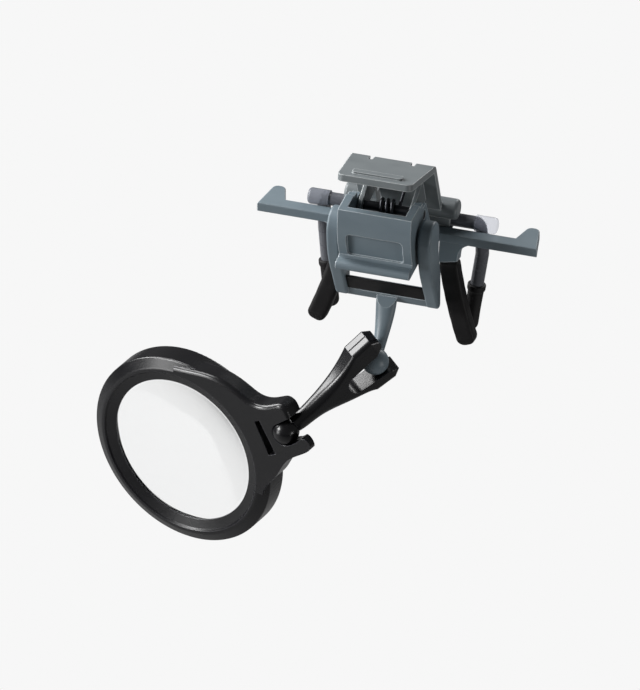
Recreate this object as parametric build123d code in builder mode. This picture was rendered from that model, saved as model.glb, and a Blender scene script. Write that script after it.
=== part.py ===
from build123d import *
import os
from math import atan2, cos, pi, radians, sin, sqrt

os.makedirs("parts", exist_ok=True)

# Clip-on loupe. X runs along the cross bar, Y from the viewer to the wearer, Z up.
# The origin is on the underside of the bar, at its middle, where it sits on the spectacles.

# Fits and allowances
overrun = 1.0  # how far a cutter runs past what it cuts
running_fit = 0.05  # radial play of pins, stubs and balls
seat_fit = 0.02  # play of pieces that are pushed or glued on
root_sink = 0.4  # how deep a root is buried in the piece that it grows from
quarter_turn = 90.0

# Cross bar with its hooks
bar_span = 57.4
bar_depth = 2.75
bar_height = 2.0
bar_front_y = -1.95
bar_edge_radius = 0.25
hook_reach = 7.25
hook_root_width = 5.1
hook_outer_taper = 1.4
hook_inner_slant = 1.4
hook_tip_radius = 1.25

# Front legs, one each side of the nose bridge
leg_root_x = 8.8
leg_width = 3.9
leg_bare_length = 4.3
leg_sleeved_length = 18.0
leg_splay_start = 11.5
leg_splay_end = 21.0
leg_lean = 11.3
gusset_radius = 3.0
sleeve_wall = 0.5
sleeve_thickness = 3.2
sleeve_edge_radius = 0.7

# Rear rod, its sleeves and its corner caps
rod_radius = 1.35
rod_y = 2.5
rod_z = 2.8
rod_half_span = 16.3
rod_bend_radius = 1.6
rear_knee_x = 16.2
rear_knee_y = 3.0
rear_knee_z = -4.5
rear_tip_x = 14.2
rear_tip_y = 1.1
rear_tip_z = -21.5
rear_sleeve_radius = 1.6
rear_sleeve_length = 10.4
rear_lip_radius = 1.85
rear_lip_length = 0.8
cap_radius = 1.65
cap_length = 4.4
cap_overhang = 3.1
cap_edge_radius = 0.7

# Thumb block
block_half_width = 7.5
block_top_z = 13.9
block_top_y = -17.0
block_bulge = 0.9
block_foot_y = -16.1
block_foot_z = 3.1
plate_thickness = 1.4
cheek_thickness = 1.6
cheek_step_y = -11.3
cheek_step = 0.6
cheek_rear_y = -9.3
cheek_foot_z = 0.3
lip_reach = 2.8
lip_thickness = 1.75
lip_bottom_z = 0.9
panel_length = 11.5
panel_height = 5.7
panel_depth = 0.6
panel_centre_y = -16.85
panel_centre_z = 5.9
panel_tilt = 11.0  # how far the panel looks down
panel_corner_radius = 0.9

# Jaw hinge and its spring
pin_y = -8.0
pin_z = 9.9
pin_radius = 1.0
eye_wall = 1.0
ear_inner_x = 4.8
ear_thickness = 0.85
wire_radius = 0.35
coil_radius = 1.7
coil_turns = 3
coil_half_length = 1.75
front_wire_angle = 252.0
rear_wire_angle = 320.0
front_wire_length = 6.6
rear_wire_length = 5.1

# Squeeze tab and its rear wall
tab_front_y = -17.8
tab_front_z = 21.1
tab_slope = 15.0
tab_length = 14.5
tab_thickness = 1.4
tab_front_half = 7.5
tab_rear_half = 8.4
tab_corner_radius = 1.3
tab_bend_radius = 2.2
rib_length = 10.2
rib_width = 1.9
rib_height = 0.45
rib_setback = 1.7
rib_corner_radius = 0.6
wall_lean = 21.5
wall_length = 13.8
wall_thickness = 1.3
slit_x = 4.25
slit_width = 0.8
slit_foot_width = 1.1
notch_mouth = 2.0
notch_depth = 2.6
notch_chamfer = 0.9
boss_radius = 2.1
boss_y = 2.2
boss_z = 5.4
boss_end_x = 11.6
boss_edge_radius = 0.7
grip_wall = 0.75
grip_end_x = 10.2
grip_mouth_turn = 225.0  # which way the grip on the rod is open
grip_mouth_share = 0.8  # its width as a share of the rod's diameter

# Swing bracket
pivot_y = -11.3
pivot_z = 6.8
stub_radius = 1.6
stub_depth = 1.4
bracket_inner_x = 8.0
bracket_plate = 2.6
bracket_head_radius = 3.5
bracket_bow_radius = 22.0
bracket_bow = 26.0
bracket_foot_z = -11.8
bracket_knee_z = -4.1
bracket_rear_y = -8.2
bracket_foot_rear_y = -6.7
bracket_foot_radius = 0.8
bracket_edge_radius = 0.5
strip_start = 4.0  # along the straight front edge, from the end of the bow
strip_setback = 0.6
strip_height = 4.3
strip_thickness = 0.5
web_drop = 1.4
web_thickness = 0.8
rail_height = 2.3

# Stem and upper ball
stem_root_y = -8.3
stem_root_z = -10.5
ball_radius = 2.7
upper_ball_y = -16.2
upper_ball_z = -20.9
stem_end_tilt = 60.0  # angle of the stem at the ball, off vertical
stem_root_half = 2.1
stem_root_depth = 1.25
stem_shoulder_drop = 0.25
stem_end_radius = 1.2
stem_shares = (1.0, 0.62, 0.28, 0.0)  # stations of its sections, from the root to the ball
stem_taper_shares = (1.0, 0.6, 0.06, 0.0)  # thickness at each station, from the end's to the root's

# Link arm
arm_azimuth = 40.6
arm_elevation = 30.7
arm_length = 22.3
arm_width = 4.8
arm_upper = 6.7
arm_lower = 4.7
fork_reach = 2.9
pad_length = 4.4
pad_setback = 1.5
pad_groove_width = 0.25
pad_groove_depth = 0.2
crotch_depth = 7.4
crotch_half = 2.0
fork_upper_gap = 2.6
fork_lower_gap = 2.4
fork_upper_mouth = 3.9
fork_lower_mouth = 3.2
fork_flare = 2.2
# Stations of the arm's sections along its length, and what part of its full height, width and
# rounding each of them has
body_station_shares = (0.08, 0.24, 0.42, 0.56, 0.66)
body_upper_shares = (0.26, 0.29, 0.40, 0.50, 0.60)
body_lower_shares = (0.31, 0.37, 0.44, 0.58, 0.68)
body_width_shares = (0.66, 0.72, 0.84, 0.92, 0.96)
body_round_shares = (0.93, 0.93, 0.90, 0.72, 0.58)
head_upper_shares = (0.93, 1.0, 0.84)
head_lower_shares = (0.97, 1.0, 0.80)
head_width_shares = (1.0, 1.0, 0.90)
head_round_shares = (0.36, 0.36, 0.36)

# Lens, its ring and the ball socket on it
lens_radius = 16.5
lens_edge = 1.3
lens_bulge = 1.25
lens_land = 1.1
ring_yaw = 16.0
ring_wall = 4.2  # from the edge of the lens to the rim of the ring
ring_thickness = 6.1
ring_drop = 1.1  # how far the outer edge of the face lies behind its crest
crest_inset = 2.1  # how far the crest lies inside the rim
step_inset = 0.9  # how far the step lies inside the crest
step_drop = 0.35
lens_lip = 0.7  # how far the ring overlaps the lens in front
lip_drop = 0.9
seat_depth = 1.2
ring_edge_radius = 0.4
crest_edge_radius = 1.3
flare_width = 1.8  # how far the flare at the back opens beyond the lens
retainer_thickness = 0.5
retainer_width = 0.4
lug_angle = 28.4
lug_standoff = 6.65  # from the rim of the ring to the middle of the ball
lug_ball_depth = 1.75
lug_thickness = 4.0
lug_upper_half = 6.5
lug_upper_tip = 3.9
lug_upper_angle = 66.0  # where the upper side of the lug starts, round the ring
lug_upper_rise = 1.2  # how far outside the crest the upper side of the lug starts
lug_root_inset = 0.5  # how far inside the crest the lug starts within the ring
lug_flank_angle = 39.6
lug_flank_rise = 1.6  # how far outside the ring's rim the upper side runs at that angle
lug_lower_half = 5.6
lug_lower_angle = 37.3
lug_lower_rise = 1.2  # how far outside the crest the lower side of the lug starts
lug_neck_setback = 1.4
lug_shoulder_setback = 6.2
lug_upper_shoulder = 10.4
lug_lower_shoulder = 8.6
lug_tip_radius = 2.0
lug_edge_radius = 0.9
prong_tip_x = 4.5  # middle of the lower prong's round tip, from the middle of the ball
prong_tip_drop = 3.0
prong_tip_radius = 1.4
prong_tip_turn = 20.0
prong_taper_start = 1.0  # where the lower prong starts to get thinner, from the middle of the ball
prong_tip_thickness = 1.1
lug_slot_upper = 2.4
lug_slot_lower = 2.4
lug_slot_flare = 0.8
lug_slot_fall = 0.5  # how far the slot's lower side falls over its half height
lug_slot_depth = 2.1
flex_slit_gap = 2.2
flex_slit_length = 7.6
flex_slit_top_width = 1.3
flex_slit_foot_width = 1.9


def meet(p, u, q, v):
    """Point where the line through p along u crosses the line through q along v."""
    share = ((q[0] - p[0]) * v[1] - (q[1] - p[1]) * v[0]) / (u[0] * v[1] - u[1] * v[0])
    return (p[0] + share * u[0], p[1] + share * u[1])


def along(p, u, distance):
    """Point at a distance from p along the unit direction u."""
    return (p[0] + distance * u[0], p[1] + distance * u[1])


def twin_of(piece):
    """The left-hand twin of a right-hand piece."""
    with BuildPart() as twin:
        mirror(piece.part, about=Plane.YZ)
    return twin


def keep(piece, name):
    """Label a finished piece and write it out under its name."""
    piece.part.label = name
    export_step(piece.part, f"parts/{name}.step")


# Front leg: a plane that leans forward, and the arc that its centre line follows.
leg_plane = Plane(
    origin=(0, bar_front_y + bar_depth / 2, 0),
    x_dir=(1, 0, 0),
    z_dir=(0, -cos(radians(leg_lean)), sin(radians(leg_lean))),
)
leg_centre_x = leg_root_x + leg_width / 2
leg_arc_length = leg_sleeved_length - leg_width / 2
leg_arc_radius = leg_arc_length / radians(leg_splay_end - leg_splay_start)


def leg_point(turn, offset):
    """Point on the leg after a turn in degrees, offset outward from its centre line."""
    start = radians(leg_splay_start)
    here = radians(leg_splay_start + turn)
    reach = leg_arc_radius - offset
    return (
        leg_centre_x + leg_arc_radius * cos(start) - reach * cos(here),
        -leg_bare_length + leg_arc_radius * sin(start) - reach * sin(here),
    )


def leg_outline(half_width, tip_gap):
    """Outline of the sleeved stretch, round at the tip and short of the full length by a gap."""
    turn = (leg_splay_end - leg_splay_start) * (1 - tip_gap / leg_arc_length)
    end = radians(leg_splay_start + turn)
    tip = leg_point(turn, 0)
    nose = (tip[0] + half_width * sin(end), tip[1] - half_width * cos(end))
    ThreePointArc(leg_point(0, half_width), leg_point(turn / 2, half_width), leg_point(turn, half_width))
    ThreePointArc(leg_point(turn, half_width), nose, leg_point(turn, -half_width))
    ThreePointArc(leg_point(turn, -half_width), leg_point(turn / 2, -half_width), leg_point(0, -half_width))
    Line(leg_point(0, -half_width), leg_point(0, half_width))


core_half_width = leg_width / 2 - sleeve_wall
core_thickness = sleeve_thickness - 2 * sleeve_wall
bar_rear_y = bar_front_y + bar_depth
hook_tip_y = bar_front_y + hook_reach
leg_outer_x = leg_root_x + leg_width

# Front bar: the hooked bar, then one leg root and core, both mirrored to the other side.
with BuildPart() as front_bar:
    with BuildSketch(Plane.XY):
        with BuildLine():
            Polyline(
                (0, bar_front_y),
                (bar_span / 2, bar_front_y),
                (bar_span / 2 - hook_outer_taper, hook_tip_y),
                (bar_span / 2 - hook_root_width + hook_inner_slant, hook_tip_y),
                (bar_span / 2 - hook_root_width, bar_rear_y),
                (0, bar_rear_y),
                close=True,
            )
        make_face()
        fillet(vertices().group_by(Axis.Y)[-1], hook_tip_radius)
    extrude(amount=bar_height)
    fillet(front_bar.edges().filter_by(Axis.Z, reverse=True), bar_edge_radius)
    with BuildSketch(leg_plane):
        with BuildLine():
            Line(leg_point(0, -leg_width / 2), (leg_root_x, 0))
            Line((leg_root_x, 0), (leg_root_x, root_sink))
            Line((leg_root_x, root_sink), (leg_outer_x + gusset_radius, root_sink))
            Line((leg_outer_x + gusset_radius, root_sink), (leg_outer_x + gusset_radius, 0))
            ThreePointArc(
                (leg_outer_x + gusset_radius, 0),
                (
                    leg_outer_x + gusset_radius * (1 - sin(pi / 4)),
                    gusset_radius * (sin(pi / 4) - 1),
                ),
                (leg_outer_x, -gusset_radius),
            )
            Line((leg_outer_x, -gusset_radius), leg_point(0, leg_width / 2))
            Line(leg_point(0, leg_width / 2), leg_point(0, -leg_width / 2))
        make_face()
    extrude(amount=bar_depth / 2, both=True)
    with BuildSketch(leg_plane):
        with BuildLine():
            leg_outline(core_half_width, sleeve_wall)
        make_face()
    extrude(amount=core_thickness / 2, both=True)
    mirror(about=Plane.YZ)
keep(front_bar, "front_bar")

# Front sleeves: rubber boots over the leg cores.
with BuildPart() as front_sleeve_right:
    with BuildSketch(leg_plane):
        with BuildLine():
            leg_outline(leg_width / 2, 0)
        make_face()
    extrude(amount=sleeve_thickness / 2, both=True)
    faces_across = front_sleeve_right.faces().sort_by(Axis((0, 0, 0), leg_plane.z_dir))
    rims = faces_across[0].edges() + faces_across[-1].edges()
    below_opening = -leg_bare_length - leg_width / 4
    fillet([edge for edge in rims if edge.center().Z < below_opening], sleeve_edge_radius)
    with BuildSketch(leg_plane):
        with BuildLine():
            leg_outline(core_half_width + seat_fit, sleeve_wall - seat_fit)
        make_face()
    extrude(amount=core_thickness / 2 + seat_fit, both=True, mode=Mode.SUBTRACT)
front_sleeve_left = twin_of(front_sleeve_right)
keep(front_sleeve_right, "front_sleeve_right")
keep(front_sleeve_left, "front_sleeve_left")

# Rear bail: one round rod, down at both ends with a slight knee in each leg.
rod_tip = Vector(rear_tip_x, rear_tip_y, rear_tip_z)
rod_knee = Vector(rear_knee_x, rear_knee_y, rear_knee_z)
leg_up = (rod_knee - rod_tip).normalized()
rod_end = rod_tip + leg_up * rear_sleeve_radius
rod_places = [
    (rod_half_span, rod_y, rod_z),
    (rear_knee_x, rear_knee_y, rear_knee_z),
    (rod_end.X, rod_end.Y, rod_end.Z),
]
rod_route = [(-x, y, z) for x, y, z in reversed(rod_places)] + rod_places
with BuildPart() as rear_bail:
    with BuildLine() as rod_line:
        FilletPolyline(*rod_route, radius=rod_bend_radius)
    with BuildSketch(Plane(origin=rod_line.line @ 0, z_dir=rod_line.line % 0)):
        Circle(rod_radius)
    sweep()
keep(rear_bail, "rear_bail")

# Rear sleeves: round boots with a lip at the open end.
boot_side = leg_up.cross(Vector(1, 0, 0)).normalized()
boot_section = Plane(origin=rod_tip, x_dir=boot_side, z_dir=boot_side.cross(leg_up))
with BuildPart() as rear_sleeve_right:
    with BuildSketch(boot_section):
        with BuildLine():
            ThreePointArc(
                (0, 0),
                (rear_sleeve_radius * sin(pi / 4), rear_sleeve_radius * (1 - cos(pi / 4))),
                (rear_sleeve_radius, rear_sleeve_radius),
            )
            Polyline(
                (rear_sleeve_radius, rear_sleeve_radius),
                (rear_sleeve_radius, rear_sleeve_length - 2 * rear_lip_length),
                (rear_lip_radius, rear_sleeve_length - rear_lip_length),
                (rear_lip_radius, rear_sleeve_length),
                (rod_radius + seat_fit, rear_sleeve_length),
                (rod_radius + seat_fit, rear_sleeve_radius - seat_fit),
                (0, rear_sleeve_radius - seat_fit),
                (0, 0),
            )
        make_face()
    revolve(axis=Axis(rod_tip, leg_up))
rear_sleeve_left = twin_of(rear_sleeve_right)
keep(rear_sleeve_right, "rear_sleeve_right")
keep(rear_sleeve_left, "rear_sleeve_left")

# Bail caps: clear caps round the corners of the rod, with a hole for it to come out below.
with BuildPart() as rod_space:
    with BuildLine() as space_line:
        FilletPolyline((0, rod_y, rod_z), *rod_places, radius=rod_bend_radius)
    with BuildSketch(Plane(origin=space_line.line @ 0, z_dir=space_line.line % 0)):
        Circle(rod_radius + seat_fit)
    sweep()
with BuildPart() as bail_cap_right:
    with BuildSketch(Plane.YZ.offset(rod_half_span + cap_overhang - cap_length)):
        with Locations((rod_y, rod_z)):
            Circle(cap_radius)
    extrude(amount=cap_length)
    fillet(bail_cap_right.faces().sort_by(Axis.X)[-1].edges(), cap_edge_radius)
    add(rod_space.part, mode=Mode.SUBTRACT)
bail_cap_left = twin_of(bail_cap_right)
keep(bail_cap_right, "bail_cap_right")
keep(bail_cap_left, "bail_cap_left")

# Thumb block: front plate with its lip, two cheeks, and the pin and pivot holes.
block_mid_z = (block_top_z + block_foot_z) / 2
block_mid_y = (block_top_y + block_foot_y) / 2 - block_bulge
lip_top_z = lip_bottom_z + lip_thickness
lip_nose_y = block_foot_y - lip_reach
eye_radius = pin_radius + eye_wall + running_fit
panel_plane = Plane(
    origin=(0, panel_centre_y, panel_centre_z),
    x_dir=(1, 0, 0),
    z_dir=(0, -cos(radians(panel_tilt)), -sin(radians(panel_tilt))),
)
with BuildPart() as thumb_block:
    with BuildSketch(Plane.YZ.offset(-block_half_width)):
        with BuildLine():
            ThreePointArc(
                (block_top_y, block_top_z),
                (block_mid_y, block_mid_z),
                (block_foot_y, block_foot_z),
            )
            ThreePointArc(
                (block_foot_y, block_foot_z),
                (block_foot_y - (block_foot_z - lip_top_z) / 2, lip_top_z + (block_foot_z - lip_top_z) / 4),
                (lip_nose_y + lip_thickness, lip_top_z),
            )
            Line((lip_nose_y + lip_thickness, lip_top_z), (lip_nose_y + lip_thickness / 2, lip_top_z))
            ThreePointArc(
                (lip_nose_y + lip_thickness / 2, lip_top_z),
                (lip_nose_y, lip_bottom_z + lip_thickness / 2),
                (lip_nose_y + lip_thickness / 2, lip_bottom_z),
            )
            Polyline(
                (lip_nose_y + lip_thickness / 2, lip_bottom_z),
                (block_foot_y + plate_thickness, lip_bottom_z),
                (block_foot_y + plate_thickness, block_foot_z),
            )
            ThreePointArc(
                (block_foot_y + plate_thickness, block_foot_z),
                (block_mid_y + plate_thickness, block_mid_z),
                (block_top_y + plate_thickness, block_top_z),
            )
            Line((block_top_y + plate_thickness, block_top_z), (block_top_y, block_top_z))
        make_face()
    extrude(amount=2 * block_half_width)
    for side_x in (-block_half_width, block_half_width - cheek_thickness):
        with BuildSketch(Plane.YZ.offset(side_x)):
            with BuildLine():
                Polyline(
                    (block_foot_y + plate_thickness / 2, lip_bottom_z),
                    (block_mid_y + plate_thickness / 2, block_mid_z),
                    (block_top_y + plate_thickness / 2, block_top_z),
                    (cheek_step_y, block_top_z),
                    (cheek_step_y + cheek_step / 2, block_top_z - cheek_step),
                    (cheek_rear_y, block_top_z - cheek_step),
                    (pin_y - eye_radius / 2, pin_z + eye_radius),
                    (pin_y + eye_radius / 2, pin_z + eye_radius),
                    (pin_y + eye_radius, pin_z),
                    (bar_front_y, bar_height),
                    (bar_front_y, cheek_foot_z),
                    (pivot_y, lip_bottom_z),
                    close=True,
                )
            make_face()
        extrude(amount=cheek_thickness)
    with BuildSketch(panel_plane.offset(-panel_depth)):
        RectangleRounded(panel_length, panel_height, panel_corner_radius)
    extrude(amount=panel_depth + overrun, mode=Mode.SUBTRACT)
    with Locations(Plane.YZ):
        with Locations((pin_y, pin_z)):
            Hole(pin_radius + seat_fit, depth=2 * block_half_width)
        with Locations((pivot_y, pivot_z)):
            Hole(stub_radius + running_fit, depth=2 * block_half_width)
keep(thumb_block, "thumb_block")

# Hinge pin: held by the cheeks, flush with their outer faces.
with BuildPart() as hinge_pin:
    with BuildSketch(Plane.YZ.offset(-block_half_width)):
        with Locations((pin_y, pin_z)):
            Circle(pin_radius)
    extrude(amount=2 * block_half_width)
    chamfer(hinge_pin.edges().filter_by(GeomType.CIRCLE), pin_radius / 5)
keep(hinge_pin, "hinge_pin")

# Torsion spring: a coil round the pin, with one wire to the front plate and one to the rear wall.
coil_sweep = coil_turns + (rear_wire_angle - front_wire_angle) / 360
start_angle = radians(front_wire_angle)
spring_plane = Plane(
    origin=(-coil_half_length, pin_y, pin_z),
    x_dir=(0, cos(start_angle), sin(start_angle)),
    z_dir=(1, 0, 0),
)
flat_coil = Helix(pitch=2 * coil_half_length / coil_sweep, height=2 * coil_half_length, radius=coil_radius)
coil = spring_plane.location * flat_coil
with BuildPart() as torsion_spring:
    with BuildLine() as wire_line:
        Line(coil @ 0 - (coil % 0) * front_wire_length, coil @ 0)
        add(coil)
        Line(coil @ 1, coil @ 1 + (coil % 1) * rear_wire_length)
    with BuildSketch(Plane(origin=wire_line.line @ 0, z_dir=wire_line.line % 0)):
        Circle(wire_radius)
    sweep(path=wire_line.line)
keep(torsion_spring, "torsion_spring")

# Rear lever: tab, rear wall cut into three fingers, pivot ears and rod bosses.
slope = radians(tab_slope)
lean = radians(wall_lean)
tab_way = (cos(slope), -sin(slope))
tab_up = (sin(slope), cos(slope))
wall_way = (sin(lean), -cos(lean))
wall_in = (-cos(lean), -sin(lean))
tab_front = (tab_front_y, tab_front_z)
tab_top_front = along(tab_front, tab_up, tab_thickness)
tab_corner = along(tab_top_front, tab_way, tab_length)
wall_foot = along(tab_corner, wall_way, wall_length)
wall_foot_in = along(wall_foot, wall_in, wall_thickness)
inner_corner = meet(tab_front, tab_way, wall_foot_in, wall_way)
tab_plane = Plane(
    origin=(0, tab_top_front[0], tab_top_front[1]),
    x_dir=(1, 0, 0),
    z_dir=(0, tab_up[0], tab_up[1]),
)
ear_top = along(inner_corner, wall_way, wall_length / 4)
ear_foot = along(wall_foot_in, wall_way, -wall_length / 4)
grip_radius = rod_radius + seat_fit + grip_wall
grip_rear_y = rod_y + grip_radius
with BuildPart() as rear_lever:
    with BuildSketch(Plane.YZ.offset(-tab_rear_half)):
        with BuildLine():
            Polyline(
                tab_front,
                tab_top_front,
                tab_corner,
                wall_foot,
                wall_foot_in,
                inner_corner,
                close=True,
            )
        make_face()
        corner = vertices().sort_by_distance(tab_corner)[0]
        fillet(corner, tab_bend_radius)
        corner = vertices().sort_by_distance(inner_corner)[0]
        fillet(corner, tab_bend_radius / 4)
    extrude(amount=2 * tab_rear_half)
    with BuildSketch(tab_plane):
        with BuildLine():
            Polyline(
                (-tab_rear_half - overrun, -overrun),
                (tab_rear_half + overrun, -overrun),
                (tab_rear_half + overrun, tab_length + wall_length),
                (-tab_rear_half - overrun, tab_length + wall_length),
                close=True,
            )
        make_face()
        with BuildLine():
            Polyline(
                (-tab_front_half, 0),
                (tab_front_half, 0),
                (tab_rear_half, tab_length - tab_bend_radius),
                (tab_rear_half, tab_length + wall_length),
                (-tab_rear_half, tab_length + wall_length),
                (-tab_rear_half, tab_length - tab_bend_radius),
                close=True,
            )
        make_face(mode=Mode.SUBTRACT)
    extrude(amount=tab_thickness + overrun, both=True, mode=Mode.SUBTRACT)
    front_corners = rear_lever.edges().filter_by(Axis((0, 0, 0), (0, *tab_up))).group_by(Axis.Y)[0]
    fillet(front_corners, tab_corner_radius)
    with BuildSketch(tab_plane):
        with Locations((0, rib_setback + rib_width / 2)):
            RectangleRounded(rib_length, rib_width, rib_corner_radius)
    extrude(amount=rib_height)
    for side in (-1, 1):
        with BuildSketch(tab_plane):
            with BuildLine():
                Polyline(
                    (side * slit_x - slit_width / 2, tab_length - notch_depth),
                    (side * slit_x + slit_width / 2, tab_length - notch_depth),
                    (side * slit_x + slit_width / 2, tab_length - notch_chamfer),
                    (side * slit_x + notch_mouth / 2, tab_length + overrun),
                    (side * slit_x - notch_mouth / 2, tab_length + overrun),
                    (side * slit_x - slit_width / 2, tab_length - notch_chamfer),
                    close=True,
                )
            make_face()
        extrude(amount=tab_thickness + overrun, both=True, mode=Mode.SUBTRACT)
        with BuildSketch(Plane.XZ.offset(-grip_rear_y)):
            with BuildLine():
                Polyline(
                    (side * slit_x - slit_width / 2, tab_front_z),
                    (side * slit_x + slit_width / 2, tab_front_z),
                    (side * slit_x + slit_foot_width / 2, 0),
                    (side * slit_x - slit_foot_width / 2, 0),
                    close=True,
                )
            make_face()
        extrude(amount=grip_rear_y - inner_corner[0] + tab_thickness, mode=Mode.SUBTRACT)
        ear_start = min(side * ear_inner_x, side * (ear_inner_x + ear_thickness))
        with BuildSketch(Plane.YZ.offset(ear_start)):
            with Locations((pin_y, pin_z)):
                Circle(eye_radius)
            with BuildLine():
                Polyline(
                    (pin_y, pin_z + eye_radius),
                    ear_top,
                    along(ear_top, wall_in, -wall_thickness / 2),
                    along(ear_foot, wall_in, -wall_thickness / 2),
                    ear_foot,
                    (pin_y, pin_z - eye_radius),
                    close=True,
                )
            make_face()
        extrude(amount=ear_thickness)
        boss_inner_x = slit_x + slit_foot_width / 2
        with BuildSketch(Plane.YZ.offset(side * boss_inner_x)):
            with Locations((boss_y, boss_z)):
                Circle(boss_radius)
        extrude(amount=side * (boss_end_x - boss_inner_x))
        boss_rim = rear_lever.edges().filter_by(GeomType.CIRCLE).sort_by(Axis.X)
        fillet(boss_rim[-1 if side > 0 else 0], boss_edge_radius)
    for side in (-1, 1):
        with BuildSketch(Plane.YZ.offset(side * boss_inner_x)):
            with Locations((rod_y, rod_z)):
                Circle(grip_radius)
        extrude(amount=side * (grip_end_x - boss_inner_x))
    with Locations(Plane.YZ):
        with Locations((pin_y, pin_z)):
            Hole(pin_radius + running_fit, depth=2 * block_half_width)
        with Locations((rod_y, rod_z)):
            Hole(rod_radius + seat_fit, depth=2 * boss_end_x)
    with BuildSketch(Plane.YZ.offset(-boss_end_x - overrun)):
        with Locations(Location((rod_y, rod_z), grip_mouth_turn)):
            with Locations((grip_radius, 0)):
                Rectangle(2 * grip_radius, 2 * rod_radius * grip_mouth_share)
    extrude(amount=2 * (boss_end_x + overrun), mode=Mode.SUBTRACT)
keep(rear_lever, "rear_lever")

# Swing bracket: two bowed plates on stubs, a web and a rail between them, and the stem.
bow_start = (pivot_y - bracket_head_radius, pivot_z)
bow_centre = (bow_start[0] + bracket_bow_radius, bow_start[1])


def bow_point(turn):
    """Point on the bowed front edge after a turn in degrees."""
    angle = radians(turn)
    return (
        bow_centre[0] - bracket_bow_radius * cos(angle),
        bow_centre[1] - bracket_bow_radius * sin(angle),
    )


bow_end = bow_point(bracket_bow)
edge_way = (sin(radians(bracket_bow)), -cos(radians(bracket_bow)))
edge_in = (cos(radians(bracket_bow)), sin(radians(bracket_bow)))
front_foot = along(bow_end, edge_way, (bow_end[1] - bracket_foot_z) / cos(radians(bracket_bow)))
strip_top = along(along(bow_end, edge_in, strip_setback), edge_way, strip_start)
strip_foot = along(strip_top, edge_way, strip_height)
rail_foot = along(strip_foot, edge_way, rail_height)
web_foot = along(strip_foot, edge_in, strip_thickness)
web_top = along(web_foot, edge_way, web_drop - strip_height)
web_rear_top = along(web_top, edge_in, web_thickness)
web_rear_foot = along(web_foot, edge_in, web_thickness)
shoulder_top = along(strip_foot, edge_way, stem_shoulder_drop)
shoulder_size = 2 * stem_root_depth
upper_ball_centre = Vector(0, upper_ball_y, upper_ball_z)
stem_back = (0, sin(radians(stem_end_tilt)), cos(radians(stem_end_tilt)))
with BuildPart() as flip_bracket:
    with BuildSketch(Plane.YZ.offset(bracket_inner_x)):
        with BuildLine():
            ThreePointArc(
                (pivot_y + bracket_head_radius, pivot_z),
                (pivot_y, pivot_z + bracket_head_radius),
                bow_start,
            )
            ThreePointArc(bow_start, bow_point(bracket_bow / 2), bow_end)
            Polyline(
                bow_end,
                front_foot,
                (bracket_foot_rear_y, bracket_foot_z),
                (bracket_foot_rear_y, bracket_knee_z),
                (bracket_rear_y, bar_height),
                (pivot_y + bracket_head_radius, pivot_z),
            )
        make_face()
        feet = vertices().group_by(Axis.Y)[0]
        fillet(feet, bracket_foot_radius)
    extrude(amount=bracket_plate)
    rims = flip_bracket.faces().sort_by(Axis.X)
    fillet(rims[0].edges() + rims[-1].edges(), bracket_edge_radius)
    mirror(about=Plane.YZ)
    with BuildSketch(Plane.YZ.offset(-bracket_inner_x - bracket_edge_radius)):
        with BuildLine():
            Polyline(
                web_top,
                web_foot,
                strip_foot,
                rail_foot,
                (bracket_foot_rear_y, rail_foot[1]),
                (bracket_foot_rear_y, web_rear_foot[1]),
                web_rear_foot,
                web_rear_top,
                close=True,
            )
        make_face()
    extrude(amount=2 * (bracket_inner_x + bracket_edge_radius))
    for stub_x in (-bracket_inner_x - root_sink, bracket_inner_x - stub_depth):
        with BuildSketch(Plane.YZ.offset(stub_x)):
            with Locations((pivot_y, pivot_z)):
                Circle(stub_radius)
        extrude(amount=stub_depth + root_sink)
    with BuildLine() as stem_line:
        TangentArc(upper_ball_centre, (0, stem_root_y, stem_root_z), tangent=stem_back)
    for stem_share, taper_share in zip(stem_shares, stem_taper_shares):
        station = stem_line.line @ stem_share
        with BuildSketch(Plane(origin=station, x_dir=(1, 0, 0), z_dir=stem_line.line % stem_share)):
            Ellipse(
                stem_end_radius + (stem_root_half - stem_end_radius) * taper_share,
                stem_end_radius + (stem_root_depth - stem_end_radius) * taper_share,
            )
    loft()
    with BuildSketch(Plane.YZ):
        with BuildLine():
            Polyline(
                shoulder_top,
                (shoulder_top[0] - shoulder_size, shoulder_top[1] - shoulder_size),
                (shoulder_top[0] - shoulder_size, shoulder_top[1] + shoulder_size),
                along(shoulder_top, edge_way, -shoulder_size),
                close=True,
            )
        make_face()
    extrude(amount=stem_root_half + overrun, both=True, mode=Mode.SUBTRACT)
    with Locations(upper_ball_centre):
        Sphere(ball_radius + running_fit, mode=Mode.SUBTRACT)
keep(flip_bracket, "flip_bracket")

# Stop strip: a flat strip on the front of the web, between the plates.
with BuildPart() as bracket_stop_strip:
    with BuildSketch(Plane.YZ.offset(-bracket_inner_x + seat_fit)):
        with BuildLine():
            Polyline(
                strip_top,
                along(strip_foot, edge_way, -seat_fit),
                along(web_foot, edge_way, -seat_fit),
                along(strip_top, edge_in, strip_thickness),
                close=True,
            )
        make_face()
    extrude(amount=2 * (bracket_inner_x - seat_fit))
keep(bracket_stop_strip, "bracket_stop_strip")

# Upper ball
with BuildPart() as upper_ball:
    with Locations(upper_ball_centre):
        Sphere(ball_radius)
keep(upper_ball, "upper_ball")

# Link arm: the side outline with its fork, cut to the top outline, then the neck and the sockets.
azimuth = radians(arm_azimuth)
elevation = radians(arm_elevation)
arm_way = Vector(cos(elevation) * cos(azimuth), cos(elevation) * sin(azimuth), sin(elevation))
arm_across = Vector(sin(azimuth), -cos(azimuth), 0)
lower_ball_centre = upper_ball_centre - arm_way * arm_length
arm_side = Plane(origin=lower_ball_centre, x_dir=arm_way, z_dir=arm_across)
tip_x = arm_length + fork_reach
crotch_x = arm_length - crotch_depth
mouth_x = tip_x - fork_flare
pad_end_x = tip_x - pad_setback
pad_start_x = pad_end_x - pad_length


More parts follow.
